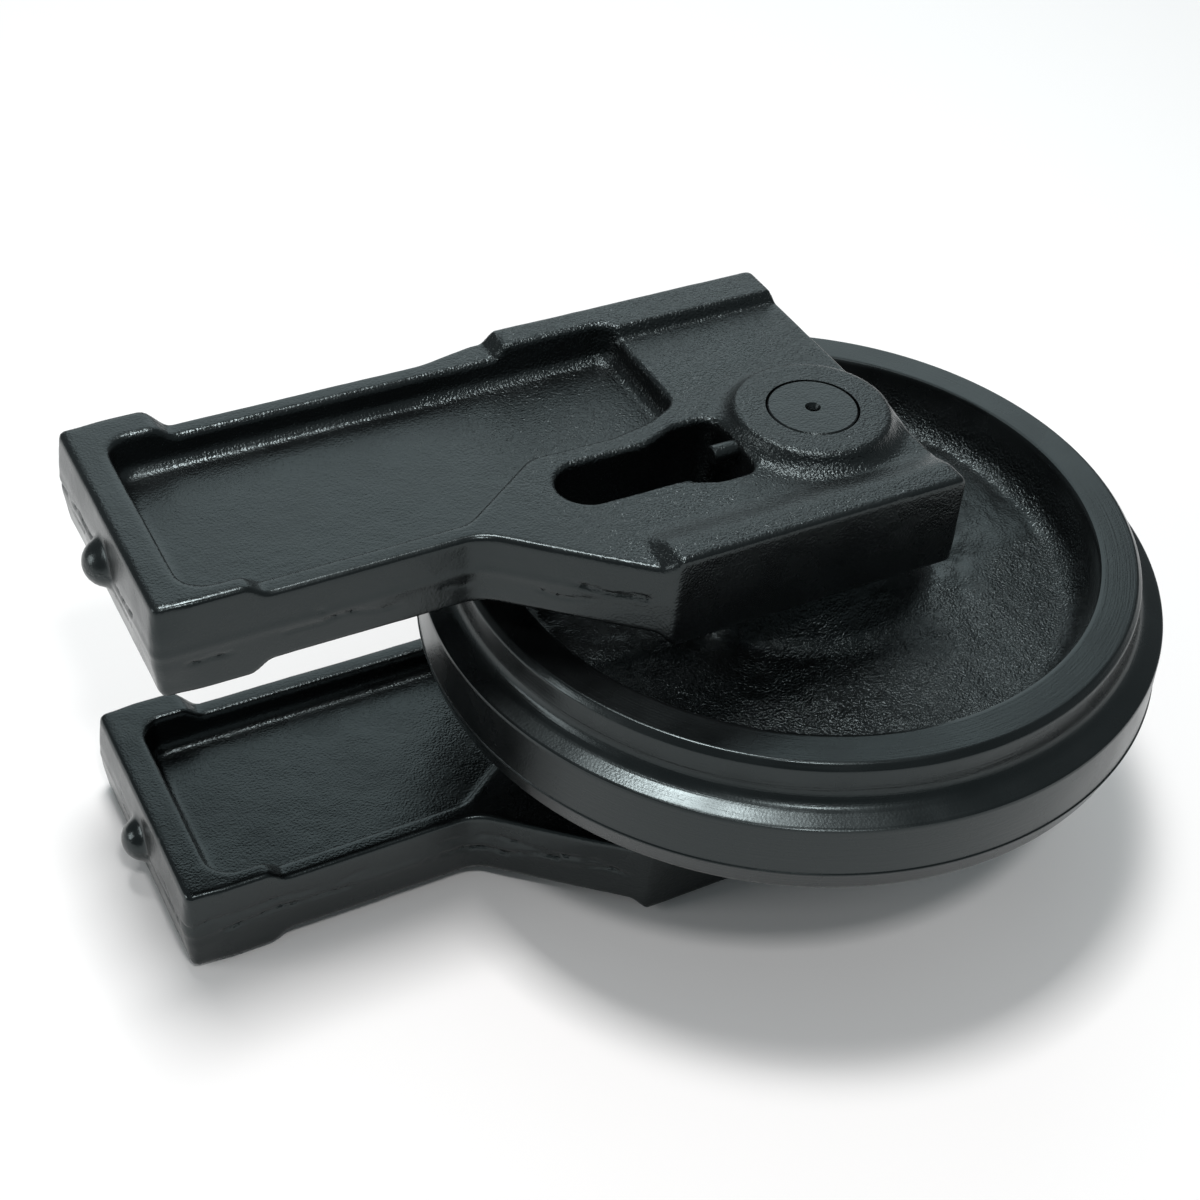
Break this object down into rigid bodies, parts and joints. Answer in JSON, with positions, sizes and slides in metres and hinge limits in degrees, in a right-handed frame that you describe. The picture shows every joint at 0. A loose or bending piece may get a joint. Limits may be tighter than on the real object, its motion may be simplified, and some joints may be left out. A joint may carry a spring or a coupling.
{
  "type": "excavator front idler",
  "caption": "Track idler for a small excavator: a flanged wheel turning on a pinned shaft between two forged side arms with guide rails, pockets and slots.",
  "frame": {"origin": "centre of the wheel, on the shaft's axis midway between the arms", "axes": "+Z along the shaft's axis, up as it lies on its side; -X towards the tails of the arms; +Y towards the far guides"},
  "size_m": [0.522, 0.372, 0.23],
  "materials": {
    "painted_casting": "satin black paint on cast steel",
    "painted_forging": "satin black paint on forged steel",
    "painted_steel": "satin black paint on turned steel",
    "bronze": "turned bearing bronze",
    "seal_iron": "lapped alloy cast iron",
    "nitrile_rubber": "moulded rubber",
    "plug_steel": "zinc plated steel",
    "copper": "annealed copper"
  },
  "bodies": {
    "frame_arms": {"arm_upper": "painted_forging", "arm_lower": "painted_forging", "shaft": "painted_steel", "lock_pin_upper": "painted_steel", "lock_pin_lower": "painted_steel", "shaft_o_ring_upper": "nitrile_rubber", "shaft_o_ring_lower": "nitrile_rubber", "seal_ring_fixed_upper": "seal_iron", "seal_ring_fixed_lower": "seal_iron", "toric_ring_fixed_upper": "nitrile_rubber", "toric_ring_fixed_lower": "nitrile_rubber", "oil_plug": "plug_steel", "oil_plug_washer": "copper"},
    "wheel": {"idler_wheel": "painted_casting", "bush_upper": "bronze", "bush_lower": "bronze", "seal_ring_turning_upper": "seal_iron", "seal_ring_turning_lower": "seal_iron", "toric_ring_turning_upper": "nitrile_rubber", "toric_ring_turning_lower": "nitrile_rubber"}
  },
  "joints": [
    {"name": "wheel_spin", "type": "hinge", "parent": "frame_arms", "child": "wheel", "pos_m": [0, 0, 0], "axis": [0, 0, 1], "continuous": true}
  ]
}
